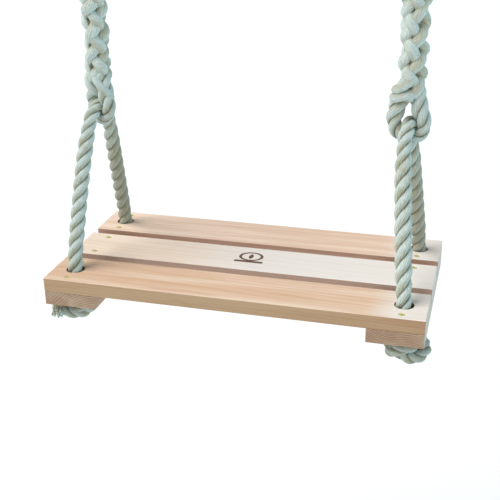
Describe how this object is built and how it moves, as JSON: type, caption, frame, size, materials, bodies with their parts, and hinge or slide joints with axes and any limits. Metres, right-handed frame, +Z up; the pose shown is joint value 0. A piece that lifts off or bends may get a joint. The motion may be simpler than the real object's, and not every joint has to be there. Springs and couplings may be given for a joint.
{
  "type": "porch swing",
  "caption": "Slatted wooden swing seat on knotted bridle ropes, hung in the spliced eyes of two hanging ropes on pendulum links that bolt under a beam.",
  "frame": {"origin": "on the beam's underside, midway between the two hanger brackets", "axes": "+X along the seat to the sitter's left as seen from the front, which is the picture's right; +Y from the seat's front to its back; +Z up. The swing hangs below the origin."},
  "size_m": [0.62, 0.302, 0.6981],
  "materials": {
    "board_front": "planed softwood, lightly sealed, satin",
    "board_middle": "planed softwood, lightly sealed, satin",
    "board_back": "planed softwood, lightly sealed, satin",
    "cleat": "planed softwood, satin",
    "screw_zinc": "yellow zinc plate",
    "zinc_steel": "bright zinc plate",
    "galvanised_steel": "hot-dip galvanised, dull",
    "nylon": "natural nylon",
    "rope": "three-strand laid spun fibre rope"
  },
  "bodies": {
    "hangers": {"pivot_washers": "zinc_steel", "hanger_bracket_left": "galvanised_steel", "pivot_bolt_left": "zinc_steel", "pivot_nut_left": "zinc_steel", "hanger_bracket_right": "galvanised_steel", "pivot_bolt_right": "zinc_steel", "pivot_nut_right": "zinc_steel"},
    "swing_links": {"pivot_bushes_left": "nylon", "pendulum_link_left": "galvanised_steel", "pivot_bushes_right": "nylon", "pendulum_link_right": "galvanised_steel"},
    "rope_left": {"shackle_left": "galvanised_steel", "shackle_pin_left": "zinc_steel", "thimble_left": "galvanised_steel", "hanging_rope_left": "rope"},
    "eye_left": {"lower_eye_left": "rope"},
    "rope_right": {"shackle_right": "galvanised_steel", "shackle_pin_right": "zinc_steel", "thimble_right": "galvanised_steel", "hanging_rope_right": "rope"},
    "eye_right": {"lower_eye_right": "rope"},
    "seat": {"seat_board_front": "board_front", "seat_board_middle": "board_middle", "seat_board_back": "board_back", "seat_cleat_left": "cleat", "seat_cleat_right": "cleat", "seat_screws": "screw_zinc", "bridle_rope_left": "rope", "stopper_knot_front_left": "rope", "stopper_knot_back_left": "rope", "bridle_rope_right": "rope", "stopper_knot_front_right": "rope", "stopper_knot_back_right": "rope"}
  },
  "joints": [
    {"name": "swing", "type": "hinge", "parent": "hangers", "child": "swing_links", "pos_m": [0, 0, -0.032], "axis": [1, 0, 0], "range_deg": [-50, 50]},
    {"name": "sway_left", "type": "hinge", "parent": "swing_links", "child": "rope_left", "pos_m": [-0.246, 0, -0.062], "axis": [0, 1, 0], "range_deg": [-12, 12]},
    {"name": "sway_right", "type": "hinge", "parent": "swing_links", "child": "rope_right", "pos_m": [0.246, 0, -0.062], "axis": [0, 1, 0], "range_deg": [-12, 12]},
    {"name": "eye_bend_left", "type": "hinge", "parent": "rope_left", "child": "eye_left", "pos_m": [-0.246, 0, -0.326], "axis": [0, 1, 0], "range_deg": [-12, 12]},
    {"name": "eye_bend_right", "type": "hinge", "parent": "rope_right", "child": "eye_right", "pos_m": [0.246, 0, -0.326], "axis": [0, 1, 0], "range_deg": [-12, 12]},
    {"name": "seat_pitch", "type": "hinge", "parent": "eye_left", "child": "seat", "pos_m": [-0.246, 0, -0.388], "axis": [1, 0, 0], "range_deg": [-20, 20]}
  ],
  "couplings": [
    {"joint": "sway_right", "follows": "sway_left", "ratio": 1},
    {"joint": "eye_bend_left", "follows": "sway_left", "ratio": -1},
    {"joint": "eye_bend_right", "follows": "sway_left", "ratio": -1}
  ]
}
